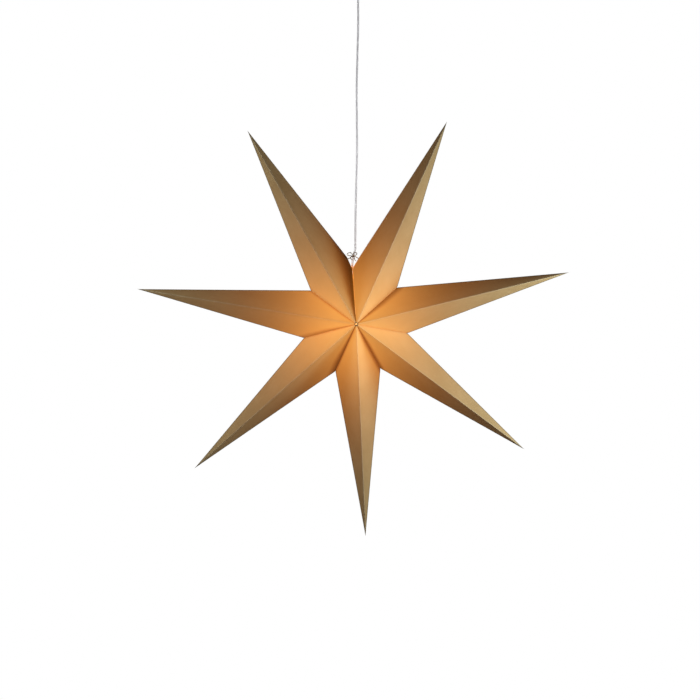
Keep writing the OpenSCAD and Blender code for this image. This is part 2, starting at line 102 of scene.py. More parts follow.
@dataclass(frozen=True)
class Finish:
    """A surface finish: what all the materials share."""

    name: str
    base: str
    roughness: float
    ior: float = 1.5
    metallic: float = 0.0

    def start(self) -> tuple[bpy.types.Material, bpy.types.NodeTree, bpy.types.Node]:
        """Makes the empty material and its main shader.

        Returns:
            The material, its node tree and its Principled shader.
        """
        material = bpy.data.materials.new(self.name)
        material.use_nodes = True
        tree = material.node_tree
        tree.nodes.clear()
        shader = add_node(tree, "ShaderNodeBsdfPrincipled", {
            "Base Color": srgb(self.base), "Roughness": self.roughness, "IOR": self.ior,
            "Metallic": self.metallic})
        add_node(tree, "ShaderNodeOutputMaterial", links={"Surface": shader.outputs["BSDF"]})
        return material, tree, shader


@dataclass(frozen=True)
class KraftCard(Finish):
    """Uncoated unbleached kraft card with the lamp shining through it.

    The eye gets matt warm brown with fine fibres along the points, a pale line of broken fibres and
    painted highlight on the front and back folds, painted shade on the folds at the outline, and a
    painted orange glow for the lamp's light through the card, strongest round the hub and weaker
    where card lies double and where the valleys' shade is painted in.
    """

    pale_fibre: str = "#c5b27f"
    dark_fibre: str = "#8d7c4d"
    fold: str = "#b9ae88"
    edge_shade: str = "#4f4a33"
    # Largest shares of pale fibres, dark clouds, the pale fold line of broken fibres and painted
    # highlight, and the painted shade on the folds at the outline
    pale_share: float = 0.55
    dark_share: float = 0.3
    fold_share: float = 0.75
    edge_shade_share: float = 0.6
    # Widths and sizes in millimetres
    fold_width: float = 4.5
    fibre_width: float = 1.6
    fibre_length: float = 16.0
    cloud_size: float = 60.0
    fibre_height: float = 0.08
    # Values of the noise between which the fibres and the clouds go from none to most
    fibre_range: tuple[float, float] = (0.3, 0.7)
    cloud_range: tuple[float, float] = (0.35, 0.7)
    # The glow's strength at the hub, where half of it is left, and how steeply it falls there
    glow_level: float = 0.66
    glow_reach: float = 155.0
    glow_power: float = 2.65
    glow_near: str = "#ffa94f"
    glow_far: str = "#ff903c"
    glow_in_valley: str = "#ff7420"
    # Where the glow's colour goes from near to far, in parts of its reach
    colour_turn: tuple[float, float] = (0.3, 1.7)
    # What is left of the glow on a pressed fold and at the thick hub, and what the inside adds
    fold_glow: float = 0.93
    hub_glow: float = 0.1
    inside_glow: float = 0.9
    # Distances from the hub between which the card goes from thick to single
    thick_hub: tuple[float, float] = (2.0, 6.5)
    # How much the fibres change the glow, up and down
    fibre_glow: float = 0.09
    star_drop: float = 800.0

    def build(self) -> bpy.types.Material:
        """Makes the card's material.

        Returns:
            The material.
        """
        material, tree, shader = self.start()
        lay = add_node(tree, "ShaderNodeUVMap", {"uv_map": "card_lay"})
        place = add_node(tree, "ShaderNodeTexCoord")
        ridge, valley, fade, dimmest, inside, shine, edge = (
            add_node(tree, "ShaderNodeAttribute", {"attribute_name": name}).outputs["Fac"]
            for name in ("ridge_mm", "valley_mm", "fade_mm", "dimmest", "inside", "shine", "edge_mm"))

        # Fibres lie along the point; real ones are finer than the render can show
        stretched = add_node(tree, "ShaderNodeVectorMath", {
            "operation": "MULTIPLY", 1: (1 / (self.fibre_width * MM), 1 / (self.fibre_length * MM), 1)},
            {0: lay.outputs["UV"]})
        fibres = add_node(tree, "ShaderNodeTexNoise", {"Scale": 1.0, "Detail": 5.0, "Roughness": 0.65},
                          {"Vector": stretched.outputs["Vector"]})
        clouds = add_node(tree, "ShaderNodeTexNoise", {
            "Scale": 1 / (self.cloud_size * MM), "Detail": 3.0}, {"Vector": place.outputs["Object"]})
        pale = add_node(tree, "ShaderNodeMapRange", {
            "From Min": self.fibre_range[0], "From Max": self.fibre_range[1],
            "To Max": self.pale_share}, {"Value": fibres.outputs["Fac"]})
        dark = add_node(tree, "ShaderNodeMapRange", {
            "From Min": self.cloud_range[0], "From Max": self.cloud_range[1],
            "To Max": self.dark_share}, {"Value": clouds.outputs["Fac"]})
        # Broken fibres and a painted highlight make a pale line on the front and back folds
        broken_fibres_and_highlight = add_node(tree, "ShaderNodeMapRange", {
            "interpolation_type": "SMOOTHSTEP", "From Min": 0.3 * self.fold_width,
            "From Max": self.fold_width, "To Min": self.fold_share, "To Max": 0.0}, {"Value": ridge})
        # Painted shade: the folds at the outline turn away from the light, so they are painted darker
        outline_shade = add_node(tree, "ShaderNodeMapRange", {
            "interpolation_type": "SMOOTHSTEP", "From Min": 0.3 * self.fold_width,
            "From Max": 1.1 * self.fold_width, "To Min": self.edge_shade_share, "To Max": 0.0},
            {"Value": edge})
        colour = add_node(tree, "ShaderNodeMix", {
            "data_type": "RGBA", MIX_A: srgb(self.base), MIX_B: srgb(self.pale_fibre)},
            {"Factor": pale.outputs["Result"]})
        for tint, share in ((self.dark_fibre, dark), (self.fold, broken_fibres_and_highlight), (self.edge_shade, outline_shade)):
            colour = add_node(tree, "ShaderNodeMix", {"data_type": "RGBA", MIX_B: srgb(tint)}, {
                "Factor": share.outputs["Result"], MIX_A: colour.outputs[MIX_RESULT]})
        tree.links.new(colour.outputs[MIX_RESULT], shader.inputs["Base Color"])

        # Painted glow: emission in the card stands for the lamp's light through it. It falls off with the
        # distance from the hub, measured in the star's plane
        centred = add_node(tree, "ShaderNodeVectorMath", {
            "operation": "ADD", 1: (0, 0, self.star_drop * MM)}, {0: place.outputs["Object"]})
        flat = add_node(tree, "ShaderNodeVectorMath", {
            "operation": "MULTIPLY", 1: (1 / (self.glow_reach * MM), 0, 1 / (self.glow_reach * MM))},
            {0: centred.outputs["Vector"]})
        reach = add_node(tree, "ShaderNodeVectorMath", {"operation": "LENGTH"},
                         {0: flat.outputs["Vector"]})
        raised = add_node(tree, "ShaderNodeMath", {"operation": "POWER", 1: self.glow_power},
                          {0: reach.outputs["Value"]})
        below = add_node(tree, "ShaderNodeMath", {"operation": "ADD", 1: 1.0},
                         {0: raised.outputs["Value"]})
        glow = add_node(tree, "ShaderNodeMath", {"operation": "DIVIDE", 0: self.glow_level},
                        {1: below.outputs["Value"]})
        # It is dimmer towards a valley, where the card lies double and the valley's shade is painted in,
        # and on the pressed folds
        single_unshaded = add_node(tree, "ShaderNodeMapRange", {"interpolation_type": "SMOOTHSTEP"},
                          {"Value": valley, "From Max": fade, "To Min": dimmest})
        bare_unshaded = add_node(tree, "ShaderNodeMath", {"operation": "MAXIMUM"},
                        {0: single_unshaded.outputs["Result"], 1: inside})
        pressed = add_node(tree, "ShaderNodeMapRange", {
            "interpolation_type": "SMOOTHSTEP", "From Min": self.fold_width,
            "From Max": 2 * self.fold_width, "To Min": self.fold_glow}, {"Value": ridge})
        # The painted shade at the outline dims the glow there as well
        edge_unshaded = add_node(tree, "ShaderNodeMath", {"operation": "SUBTRACT", 0: 1.0},
                         {1: outline_shade.outputs["Result"]})
        # Round the hub the strips of all the points lie on each other and let little light through
        thick = add_node(tree, "ShaderNodeMapRange", {
            "interpolation_type": "SMOOTHSTEP", "From Min": self.thick_hub[0] / self.glow_reach,
            "From Max": self.thick_hub[1] / self.glow_reach, "To Min": self.hub_glow},
            {"Value": reach.outputs["Value"]})
        lit_inside = add_node(tree, "ShaderNodeMath", {
            "operation": "MULTIPLY_ADD", 1: self.inside_glow, 2: 1.0}, {0: inside})
        uneven = add_node(tree, "ShaderNodeMapRange", {
            "From Min": self.fibre_range[0], "From Max": self.fibre_range[1],
            "To Min": 1 + self.fibre_glow, "To Max": 1 - self.fibre_glow},
            {"Value": fibres.outputs["Fac"]})
        level = glow.outputs["Value"]
        for factor in (bare_unshaded.outputs["Value"], pressed.outputs["Result"], edge_unshaded.outputs["Value"],
                       thick.outputs["Result"], lit_inside.outputs["Value"],
                       uneven.outputs["Result"], shine):
            level = add_node(tree, "ShaderNodeMath", {"operation": "MULTIPLY"},
                             {0: level, 1: factor}).outputs["Value"]
        turned = add_node(tree, "ShaderNodeMapRange", {
            "From Min": self.colour_turn[0], "From Max": self.colour_turn[1]},
            {"Value": reach.outputs["Value"]})
        glow_colour = add_node(tree, "ShaderNodeMix", {
            "data_type": "RGBA", MIX_A: srgb(self.glow_near), MIX_B: srgb(self.glow_far)},
            {"Factor": turned.outputs["Result"]})
        # Where it fades in a valley, the painted glow turns a deeper orange
        deepened = add_node(tree, "ShaderNodeMix", {"data_type": "RGBA", MIX_A: srgb(self.glow_in_valley)},
                            {"Factor": bare_unshaded.outputs["Value"], MIX_B: glow_colour.outputs[MIX_RESULT]})
        emitted = add_node(tree, "ShaderNodeVectorMath", {"operation": "SCALE"},
                           {0: deepened.outputs[MIX_RESULT], "Scale": level})
        tree.links.new(emitted.outputs["Vector"], shader.inputs["Emission Color"])
        shader.inputs["Emission Strength"].default_value = 1.0

        # The fibres stand up a few hundredths of a millimetre
        relief = add_node(tree, "ShaderNodeBump", {"Strength": 0.35, "Distance": self.fibre_height * MM},
                          {"Height": fibres.outputs["Fac"]})
        tree.links.new(relief.outputs["Normal"], shader.inputs["Normal"])
        return material


@dataclass(frozen=True)
class TwistedCotton(Finish):
    """Bleached three-ply cotton string: soft, matt and a little see-through, shaded between its plies."""

    shade: str = "#d5d0c6"
    ply_step: float = 0.9
    see_through: float = 0.45

    def build(self) -> bpy.types.Material:
        """Makes the string's material.

        Returns:
            The material.
        """
        material, tree, shader = self.start()
        place = add_node(tree, "ShaderNodeTexCoord")
        fuzz = add_node(tree, "ShaderNodeTexNoise", {"Scale": 1 / (self.ply_step * MM), "Detail": 4.0},
                        {"Vector": place.outputs["Object"]})
        colour = add_node(tree, "ShaderNodeMix", {
            "data_type": "RGBA", MIX_A: srgb(self.base), MIX_B: srgb(self.shade)},
            {"Factor": fuzz.outputs["Fac"]})
        tree.links.new(colour.outputs[MIX_RESULT], shader.inputs["Base Color"])
        relief = add_node(tree, "ShaderNodeBump", {"Strength": 0.5, "Distance": 0.1 * MM},
                          {"Height": fuzz.outputs["Fac"]})
        tree.links.new(relief.outputs["Normal"], shader.inputs["Normal"])
        shader.inputs["Sheen Weight"].default_value = 0.3
        # Thin loose cotton shows some of the bright surroundings through it
        shader.inputs["Transmission Weight"].default_value = self.see_through
        return material


@dataclass(frozen=True)
class MouldedPlastic(Finish):
    """Moulded or extruded plastic: an even colour under fine moulding texture, milky when thin."""

    shade: str = "#6f6a60"
    grain_size: float = 0.8
    grain_depth: float = 0.02
    shade_share: float = 0.08
    see_through: float = 0.0

    def build(self) -> bpy.types.Material:
        """Makes the plastic's material.

        Returns:
            The material.
        """
        material, tree, shader = self.start()
        place = add_node(tree, "ShaderNodeTexCoord")
        grain = add_node(tree, "ShaderNodeTexNoise", {"Scale": 1 / (self.grain_size * MM), "Detail": 2.0},
                         {"Vector": place.outputs["Object"]})
        streaks = add_node(tree, "ShaderNodeTexNoise", {"Scale": 1 / (30 * self.grain_size * MM)},
                           {"Vector": place.outputs["Object"]})
        share = add_node(tree, "ShaderNodeMapRange", {"To Max": self.shade_share},
                         {"Value": streaks.outputs["Fac"]})
        colour = add_node(tree, "ShaderNodeMix", {
            "data_type": "RGBA", MIX_A: srgb(self.base), MIX_B: srgb(self.shade)},
            {"Factor": share.outputs["Result"]})
        tree.links.new(colour.outputs[MIX_RESULT], shader.inputs["Base Color"])
        dull = add_node(tree, "ShaderNodeMapRange", {
            "To Min": self.roughness - 0.06, "To Max": self.roughness + 0.06},
            {"Value": grain.outputs["Fac"]})
        tree.links.new(dull.outputs["Result"], shader.inputs["Roughness"])
        relief = add_node(tree, "ShaderNodeBump", {"Strength": 0.3, "Distance": self.grain_depth * MM},
                          {"Height": grain.outputs["Fac"]})
        tree.links.new(relief.outputs["Normal"], shader.inputs["Normal"])
        shader.inputs["Transmission Weight"].default_value = self.see_through
        return material


@dataclass(frozen=True)
class WorkedMetal(Finish):
    """Turned brass or zinc-plated steel: fine drawn lines and slightly uneven dullness."""

    tarnish: str = "#6b5b3a"
    line_size: float = 0.4

    def build(self) -> bpy.types.Material:
        """Makes the metal's material.

        Returns:
            The material.
        """
        material, tree, shader = self.start()
        place = add_node(tree, "ShaderNodeTexCoord")
        drawn = add_node(tree, "ShaderNodeVectorMath", {
            "operation": "MULTIPLY", 1: (1 / (12 * self.line_size * MM), 1 / (self.line_size * MM),
                                         1 / (self.line_size * MM))}, {0: place.outputs["Object"]})
        lines = add_node(tree, "ShaderNodeTexNoise", {"Scale": 1.0, "Detail": 3.0},
                         {"Vector": drawn.outputs["Vector"]})
        share = add_node(tree, "ShaderNodeMapRange", {"From Min": 0.4, "From Max": 0.8, "To Max": 0.35},
                         {"Value": lines.outputs["Fac"]})
        colour = add_node(tree, "ShaderNodeMix", {
            "data_type": "RGBA", MIX_A: srgb(self.base), MIX_B: srgb(self.tarnish)},
            {"Factor": share.outputs["Result"]})
        tree.links.new(colour.outputs[MIX_RESULT], shader.inputs["Base Color"])
        dull = add_node(tree, "ShaderNodeMapRange", {
            "To Min": self.roughness - 0.1, "To Max": self.roughness + 0.15},
            {"Value": lines.outputs["Fac"]})
        tree.links.new(dull.outputs["Result"], shader.inputs["Roughness"])
        return material


@dataclass(frozen=True)
class OpalGlass(Finish):
    """Opal glass globe, lit: a milky warm white that glows a little unevenly, under clear gloss."""

    lit: str = "#ffcf95"
    strength: float = 0.8

    def build(self) -> bpy.types.Material:
        """Makes the lit glass material.

        Returns:
            The material.
        """
        material, tree, shader = self.start()
        place = add_node(tree, "ShaderNodeTexCoord")
        swirl = add_node(tree, "ShaderNodeTexNoise", {"Scale": 1 / (20 * MM)},
                         {"Vector": place.outputs["Object"]})
        level = add_node(tree, "ShaderNodeMapRange", {
            "To Min": 0.9 * self.strength, "To Max": self.strength}, {"Value": swirl.outputs["Fac"]})
        tree.links.new(level.outputs["Result"], shader.inputs["Emission Strength"])
        shader.inputs["Emission Color"].default_value = srgb(self.lit)
        return material


# Kraft card, machine-made and scored for folding
KRAFT = KraftCard("kraft_card_scored", "#ab976a", roughness=0.9, ior=1.45)
# Bleached cotton string, three plies twisted together
STRING = TwistedCotton("cotton_string_twisted", "#f1eee6", roughness=0.95, ior=1.5)
# Soft PVC sheath, extruded: satin, milky white and slightly see-through
SHEATH = MouldedPlastic("pvc_sheath_extruded", "#f4f4f6", roughness=0.45, ior=1.53,
                        shade_share=0.03, see_through=0.5)
BROWN_CORE = MouldedPlastic("pvc_core_brown_extruded", "#6b3d22", roughness=0.4, ior=1.53)
BLUE_CORE = MouldedPlastic("pvc_core_blue_extruded", "#3560a8", roughness=0.4, ior=1.53)
# Phenolic holder, compression moulded: white with a hard gloss
HOLDER = MouldedPlastic("phenolic_moulded_white", "#e6e3da", roughness=0.25, ior=1.6)
# Nylon fittings, injection moulded: waxy off-white
NYLON = MouldedPlastic("nylon_moulded_natural", "#e4e1d6", roughness=0.5, ior=1.53)
# ABS ceiling cup, injection moulded: smooth and softly glossy
CUP = MouldedPlastic("abs_moulded_white", "#eceae5", roughness=0.3, ior=1.54)
# Brass contacts, stamped and turned
BRASS = WorkedMetal("brass_turned", "#d9b25f", roughness=0.3, metallic=1.0, tarnish="#8f6f35")
# Zinc-plated steel strap and screws
ZINC = WorkedMetal("steel_zinc_plated", "#c3c5c8", roughness=0.38, metallic=1.0, tarnish="#8c8f94")
# Opal glass, blown
OPAL = OpalGlass("opal_glass_blown", "#f6efe2", roughness=0.12, ior=1.5)


def new_piece(name: str, points: np.ndarray, faces: Sequence[Sequence[int]],
              material: bpy.types.Material) -> bpy.types.Object:
    """Makes one smooth-shaded piece that rides on the part's body.

    Args:
        name: The piece's name.
        points: Vertices in metres, one row each.
        faces: Vertex numbers of each face, anticlockwise seen from outside.
        material: What it is made of.

    Returns:
        The new object.
    """
    mesh = bpy.data.meshes.new(name)
    mesh.from_pydata([tuple(p) for p in points], [], faces)
    mesh.materials.append(material)
    mesh.polygons.foreach_set("use_smooth", [True] * len(mesh.polygons))
    mesh.update()
    piece = bpy.data.objects.new(name, mesh)
    bpy.context.scene.collection.objects.link(piece)
    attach(piece, BODY)
    return piece


def smooth_route(route: Sequence[Sequence[float]], steps: int) -> np.ndarray:
    """Draws a smooth curve through given points.

    Args:
        route: The points.
        steps: Pieces of curve between two points.

    Returns:
        Points along the curve.
    """
    knots = np.array(route, float)
    padded = np.vstack([knots[:1], knots, knots[-1:]])
    curve = []
    for a, b, c, d in zip(padded, padded[1:], padded[2:], padded[3:]):
        for t in np.arange(steps) / steps:
            curve.append(0.5 * (2 * b + (c - a) * t + (2 * a - 5 * b + 4 * c - d) * t ** 2
                                + (3 * b - a - 3 * c + d) * t ** 3))
    return np.array(curve + [knots[-1]])


def tube(path: np.ndarray, radius: float, sides: int, plies: int = 0,
         twist: float = 1.0) -> tuple[np.ndarray, list[list[int]]]:
    """Sweeps a round or plied section along a path.

    Args:
        path: Points along the middle, in the unit of the result.
        radius: Outer radius.
        sides: Corners of the section.
        plies: Number of twisted plies, or 0 for a round tube.
        twist: Length in which the plies turn once.

    Returns:
        The vertices and the faces.
    """
    tangents = np.gradient(path, axis=0)
    tangents /= np.linalg.norm(tangents, axis=1)[:, None]
    side = np.cross(tangents[0], [0.3, 0.9, 0.2])
    travelled = np.concatenate([[0], np.cumsum(np.linalg.norm(np.diff(path, axis=0), axis=1))])
    rings = []
    for point, tangent, length in zip(path, tangents, travelled):
        side = side - (side @ tangent) * tangent
        side /= np.linalg.norm(side)
        up = np.cross(tangent, side)
        angles = 2 * math.pi * np.arange(sides) / sides
        reach = np.full(sides, radius)
        if plies:
            turned = plies * (angles - 2 * math.pi * length / twist)
            reach = radius * (PLY_MEAN + PLY_SWING * np.cos(turned))
        ring = np.cos(angles)[:, None] * side + np.sin(angles)[:, None] * up
        rings.append(point + reach[:, None] * ring)
    count = len(path)
    faces = [[i * sides + k, i * sides + (k + 1) % sides, (i + 1) * sides + (k + 1) % sides,
              (i + 1) * sides + k] for i in range(count - 1) for k in range(sides)]
    faces.append(list(range(sides))[::-1])
    faces.append([(count - 1) * sides + k for k in range(sides)])
    return np.vstack(rings), faces


def polar(radius: float, direction: float) -> np.ndarray:
    """Gives a point in the star's plane, from its centre, in millimetres."""
    angle = math.radians(direction)
    return np.array([radius * math.cos(angle), 0.0, radius * math.sin(angle)])


def mirrored(point: np.ndarray) -> np.ndarray:
    """Gives the same point on the other side of the star's plane."""
    return point * np.array([1, -1, 1])


class Side(Enum):
    """The two sides of a point, seen from the front with its tip up."""

    LEFT = 0
    RIGHT = 1


@dataclass(frozen=True)
class Corner:
    """A corner of the outline that a point has at its base.

    Attributes:
        place: Where it is, from the star's centre.
        fold: How far its fold is rounded, or 0 for a slight bend.
    """

    place: np.ndarray
    fold: float


@dataclass(frozen=True)
class Column:
    """A line of the card's mesh that runs from the base to the tip.

    Attributes:
        corner: The corner that it belongs to, or that its panel starts from.
        turn: On a fold, from -1 before the corner to 1 after it; None between the folds.
        part: Between the folds, its share of the panel's width.
    """

    corner: int
    turn: Optional[float] = None
    part: float = 0.0

    def middle(self) -> float:
        """Gives where the column lies in the outline's order, counted in corners."""
        return self.corner + (0.5 if self.turn is None else 0.25 * self.turn)


def smooth_step(low: float, high: float, value: float) -> float:
    """Rises smoothly from 0 at low to 1 at high."""
    share = min(1.0, max(0.0, (value - low) / (high - low)))
    return share * share * (3 - 2 * share)


def off_line(points: np.ndarray, start: np.ndarray, end: np.ndarray) -> np.ndarray:
    """Gives how far points lie from a straight line through two places."""
    way = (end - start) / np.linalg.norm(end - start)
    across = (points - start) - ((points - start) @ way)[..., None] * way
    return np.linalg.norm(across, axis=-1)


@dataclass
class Sheet:
    """Places and marks of the card of one point, by row and column of its mesh.

    Attributes:
        index: The point's number, from 0.
        corners: The outline at its base.
        back_hub: The number of the back hub's corner.
        apex: Its tip.
        outer: Places of the outer face.
        flat: The same on flat card.
        valley: How far each lies from the valley, negative on the strip inside.
        fade: Width beside the valley in which the glow fades.
        dimmest: How much glow is left in the valley.
        shine: How strongly the lamp lights it.
    """

    index: int
    corners: Sequence[Corner]
    back_hub: int
    apex: np.ndarray
    outer: np.ndarray
    flat: np.ndarray
    valley: np.ndarray
    fade: np.ndarray
    dimmest: np.ndarray
    shine: np.ndarray


@dataclass
class PaperStar:
    """Seven hollow points of folded card, glued strip to strip, with an open seam at the top."""

    hub_drop: float = 800.0
    tip_radius: float = 500.0
    notch_radius: float = 124.0
    hub_half_depth: float = 112.0
    paper_thickness: float = 0.4
    glue_strip_width: float = 10.0
    pinhole_radius: float = 2.0
    seam_corner_radius: float = 148.0
    seam_knee_radius: float = 121.0
    seam_direction: float = 93.4
    seam_knee_gap_angle: float = 0.7
    left_corner_direction: float = 97.6
    right_corner_direction: float = 86.6
    seam_strip_width: float = 9.0
    string_hole_inset: float = 4.5
    point_directions: Sequence[float] = (119.9, 65.8, 13.3, -36.7, -86.7, -137, -188)
    point_length_errors: Sequence[float] = (-3, 0, 4, -7, 1, 3, 3)
    valley_directions: Sequence[float] = (39.2, -12.5, -61.3, -110.9, -161.4, -214.4)
    # How far each kind of fold is rounded, measured on the card
    ridge_round: float = 1.8
    edge_round: float = 0.9
    valley_round: float = 2.2
    sharp_seam_round: float = 0.8
    seam_curl: float = 14.0
    # Distances from the hub between which the seam's strips get bright
    lit_strip: tuple[float, float] = (103, 122)
    # Near the hub a fade is no wider than this share of the distance from it
    hub_fade: float = 0.25
    curl_fade: float = 0.38
    # How far the card stands out between its folds, for each point's right and left half
    bows: Sequence[tuple[float, float]] = ((1.8, 1.2), (1.4, 0.9), (1.0, 1.6), (1.5, 1.1), (1.2, 1.3),
                                           (1.7, 0.8), (1.1, 1.5))
    # How strongly the painted glow shows on each point's right and left half, which paints its light and
    # shade, fitted to how the real one looks
    shines: Sequence[tuple[float, float]] = ((0.68, 0.93), (0.9, 1.07), (0.95, 1.08), (0.92, 0.96),
                                             (1.11, 1.1), (1.11, 0.83), (1.17, 1.19))
    # Beside each point's right and left valley, the width in which the glow fades, and its dimmest;
    # the fade stands for card lying double and for painted shade in the valley
    fades: Sequence[tuple[tuple[float, float], tuple[float, float]]] = (
        ((60, 0.02), (12, 0.8)), ((12, 0.85), (4, 1.0)), ((6, 0.9), (20, 0.3)), ((14, 0.3), (8, 0.75)),
        ((6, 0.6), (14, 0.4)), ((6, 0.75), (26, 0.12)), ((8, 0.6), (18, 0.45)))
    fold_steps: int = 6
    panel_columns: int = 9
    panel_rows: int = 30
    tip_share: float = 0.992
    # A fold is rounded over no more than this share of its panel's width
    widest_fold: float = 0.35
    # A strip's turn takes up no more than this share of it
    longest_turn: float = 0.8
    # Places nearer to the axis than this are the hub's own corner
    hub_corner: float = 0.2
    finish: KraftCard = KRAFT

    def seam_edge(self, knee_direction: float, corner_direction: float) -> list[np.ndarray]:
        """Gives the edge along the open seam, from the front hub to the back hub."""
        hub = np.array([0, -self.hub_half_depth, 0])
        knee_depth = self.hub_half_depth * (1 - self.seam_knee_radius / self.seam_corner_radius)
        knee = polar(self.seam_knee_radius, knee_direction) - np.array([0, knee_depth, 0])
        return [hub, knee, polar(self.seam_corner_radius, corner_direction), mirrored(knee), mirrored(hub)]

    def edge(self, index: int, side: Side) -> list[np.ndarray]:
        """Gives one edge of a point.

        Args:
            index: The point's number, from 0.
            side: Which of its edges.

        Returns:
            The edge's corners from the front hub to the back hub.
        """
        half_gap = self.seam_knee_gap_angle / 2
        if index == 0 and side is Side.RIGHT:
            return self.seam_edge(self.seam_direction + half_gap, self.left_corner_direction)
        if index == 1 and side is Side.LEFT:
            return self.seam_edge(self.seam_direction - half_gap, self.right_corner_direction)
        hub = np.array([0, -self.hub_half_depth, 0])
        valley = index - 1 if side is Side.RIGHT else (index - 2) % len(self.point_directions)
        return [hub, polar(self.notch_radius, self.valley_directions[valley]), mirrored(hub)]

    def tip(self, index: int) -> np.ndarray:
        """Gives the tip of a point."""
        return polar(self.tip_radius + self.point_length_errors[index], self.point_directions[index])

    def outline(self, index: int) -> tuple[list[Corner], int]:
        """Gives the closed outline that a point has at its base.

        Args:
            index: The point's number, from 0.

        Returns:
            Its corners from the front hub round by the right edge, and the number of the back hub.
        """
        right = self.edge(index, Side.RIGHT)
        left = self.edge(index, Side.LEFT)
        corners = [Corner(place, self.ridge_round if place is right[0] or place is right[-1]
                          else self.edge_round if place[1] == 0 else 0.0)
                   for place in right + left[-2:0:-1]]
        return corners, len(right) - 1

    def columns(self, corners: Sequence[Corner]) -> list[Column]:
        """Chooses the columns of the mesh, closer together on the folds.

        Args:
            corners: The closed outline.

        Returns:
            The columns in the outline's order.
        """
        chosen = []
        for number, corner in enumerate(corners):
            turns = np.linspace(-1, 1, self.fold_steps + 1) if corner.fold else [0.0]
            chosen += [Column(number, float(turn)) for turn in turns]
            chosen += [Column(number, None, k / self.panel_columns) for k in range(1, self.panel_columns)]
        return chosen

    def place_on(self, corners: Sequence[Corner], column: Column, apex: np.ndarray, share: float,
                 bow: float) -> tuple[np.ndarray, np.ndarray]:
        """Gives the card's place on a column at a share of the way to the tip.

        Args:
            corners: The outline at the base.
            column: The column.
            apex: The point's tip.
            share: How far along it is, from 0 at the base to 1 at the tip.
            bow: How far the card stands out in the middle of the panel.

        Returns:
            The place with rounded folds and bowed panels, and the same on flat card.
        """
        count = len(corners)
        before, here, there = [corners[(column.corner + k) % count].place * (1 - share) + apex * share
                               for k in (-1, 0, 1)]
        width = np.linalg.norm(there - here)
        way = (there - here) / width
        fold = min(corners[column.corner].fold, self.widest_fold * width)
        if column.turn is None:
            end = min(corners[(column.corner + 1) % count].fold, self.widest_fold * width)
            reach = fold + column.part * (width - fold - end)
            flat = here + reach * way
            middle = sum(corner.place for corner in corners) / count
            outwards = np.cross(way, apex - here)
            outwards /= np.linalg.norm(outwards)
            if outwards @ (here - middle) < 0:
                outwards = -outwards
            rise = bow * math.sin(math.pi * reach / width) * math.sin(math.pi * share ** 0.6)
            return flat + rise * outwards, flat
        back_width = np.linalg.norm(before - here)
        back_way = (before - here) / back_width
        back_fold = min(fold, self.widest_fold * back_width)
        flat = here + (fold * way if column.turn > 0 else back_fold * back_way) * abs(column.turn)
        u = (1 + column.turn) / 2
        bent = ((1 - u) ** 2 * (here + back_fold * back_way) + 2 * u * (1 - u) * here
                + u ** 2 * (here + fold * way))
        return bent, flat

    def on_wall(self, edge: Sequence[np.ndarray], radius: float, depth: float) -> np.ndarray:
        """Gives a place on the wall between two points.

        Args:
            edge: The wall's edge from the front hub to the back hub.
            radius: Distance from the star's axis.
            depth: Place from front to back.

        Returns:
            The place, bent outwards past the knee of an open seam.
        """
        first = edge[1] * np.array([1, 0, 1])
        knee_radius = np.linalg.norm(first)
        place = first * (radius / knee_radius)
        if len(edge) > 3 and radius > knee_radius:
            corner = edge[2]
            past = (radius - knee_radius) / (np.linalg.norm(corner) - knee_radius)
            place = first + past * (corner - first)
        return place + np.array([0, depth, 0])

    def strip_end(self, edge: Sequence[np.ndarray], flat: np.ndarray) -> np.ndarray:
        """Gives the inner end of the glued or folded strip behind a place on the edge.

        Args:
            edge: The wall's edge from the front hub to the back hub.
            flat: A place on that edge.

        Returns:
            The place on the strip's inner border.
        """
        half = self.hub_half_depth
        strip = self.seam_strip_width if len(edge) > 3 else self.glue_strip_width
        reach = np.linalg.norm(edge[1] * np.array([1, 0, 1]))
        rise = half + edge[1][1]
        inner_half = half - strip * math.hypot(reach, rise) / reach
        outwards = 1 - abs(flat[1]) / half
        depth = math.copysign((1 - outwards) * inner_half, flat[1])
        return self.on_wall(edge, outwards * inner_half * reach / rise, depth)

    def valley_rounding(self, index: int, side: Side, flat: np.ndarray) -> float:
        """Gives how far the card is rounded into a valley.

        Args:
            index: The point's number, from 0.
            side: Which of its edges.
            flat: The place on that edge.

        Returns:
            The rounded width in millimetres.
        """
        outwards = 1 - abs(flat[1]) / self.hub_half_depth
        if index == 0 and side is Side.RIGHT:
            curled = smooth_step(0.02, 0.35, outwards) * (1 - smooth_step(0.55, 0.82, outwards))
            return self.valley_round + curled * (self.seam_curl - self.valley_round)
        if index == 1 and side is Side.LEFT:
            return self.sharp_seam_round
        return self.valley_round

    def build_point(self, index: int, material: bpy.types.Material) -> bpy.types.Object:
        """Builds one folded point of the star.

        Args:
            index: The point's number, from 0.
            material: The card.

        Returns:
            The piece, which replaces the plain one.
        """
        corners, back_hub = self.outline(index)
        columns = self.columns(corners)
        apex = self.tip(index)
        edges = {side: self.edge(index, side) for side in Side}
        sides = [Side.RIGHT if 0 <= column.middle() < back_hub else Side.LEFT for column in columns]
        lines = [self.card_line(index, corners, column, apex, side, edges[side])
                 for column, side in zip(columns, sides)]
        outer, flat = (np.array([line[k] for line in lines]).transpose(1, 0, 2) for k in (0, 1))
        valley = np.array([line[2] for line in lines], float).T
        fades = np.array([self.fades[index][side is Side.LEFT] for side in sides])
        fade, dimmest = (values + np.zeros_like(valley) for values in fades.T)
        narrowing = np.array([self.curl_fade if index == 0 and side is Side.RIGHT else self.hub_fade
                              for side in sides])
        fade = np.minimum(fade, 0.5 + narrowing * np.linalg.norm(flat[..., [0, 2]], axis=2))
        shine = np.array([self.shines[index][side is Side.LEFT] for side in sides]) + np.zeros_like(valley)
        return self.shell(Sheet(index, corners, back_hub, apex, outer, flat, valley, fade, dimmest, shine),
                          material)

